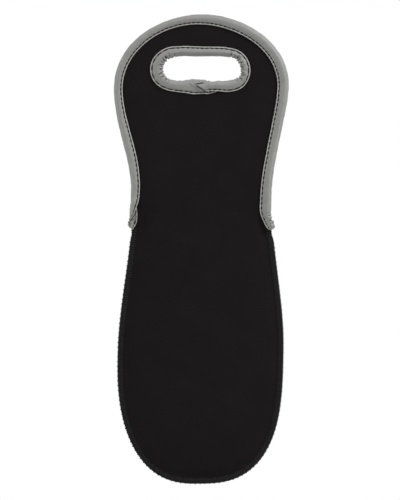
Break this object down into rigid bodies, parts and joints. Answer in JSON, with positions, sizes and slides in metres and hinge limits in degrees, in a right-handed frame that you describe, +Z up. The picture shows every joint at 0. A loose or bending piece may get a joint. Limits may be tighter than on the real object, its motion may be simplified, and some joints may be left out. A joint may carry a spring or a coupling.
{
  "type": "bottle carrier",
  "caption": "Flat neoprene pouch for a bottle, open at the top between two folding carrying handles with taped grip slots.",
  "frame": {"origin": "top of the two grip slots, midway between the handles, where a hand or a peg bears", "axes": "+Z up along the carrier as it hangs, +X across it, the front faces -Y"},
  "size_m": [0.1594, 0.0192, 0.4302],
  "materials": {
    "jersey": "fine black knitted nylon, matt with a slight sheen",
    "foam": "closed-cell foam rubber, matt",
    "tape": "mid-grey elastic binding tape, satin with a fine weave",
    "thread": "black sewing thread"
  },
  "bodies": {
    "pouch": {"front_pouch_face": "jersey", "front_pouch_foam": "foam", "front_pouch_lining": "jersey", "back_pouch_face": "jersey", "back_pouch_foam": "foam", "back_pouch_lining": "jersey", "side_seam": "thread", "left_crotch_tape": "tape", "right_crotch_tape": "tape"},
    "front_handle": {"front_handle_face": "jersey", "front_handle_foam": "foam", "front_handle_lining": "jersey", "front_edge_tape": "tape", "front_slot_tape": "tape"},
    "back_handle": {"back_handle_face": "jersey", "back_handle_foam": "foam", "back_handle_lining": "jersey", "back_edge_tape": "tape", "back_slot_tape": "tape"}
  },
  "joints": [
    {"name": "front_handle_fold", "type": "hinge", "parent": "pouch", "child": "front_handle", "pos_m": [0, -0.0087, -0.1077], "axis": [1, 0, 0], "range_deg": [-1.1, 90], "stiffness_Nm_per_rad": 0.06},
    {"name": "back_handle_fold", "type": "hinge", "parent": "pouch", "child": "back_handle", "pos_m": [0, 0.0087, -0.1077], "axis": [-1, 0, 0], "range_deg": [-1.1, 90], "stiffness_Nm_per_rad": 0.06}
  ]
}
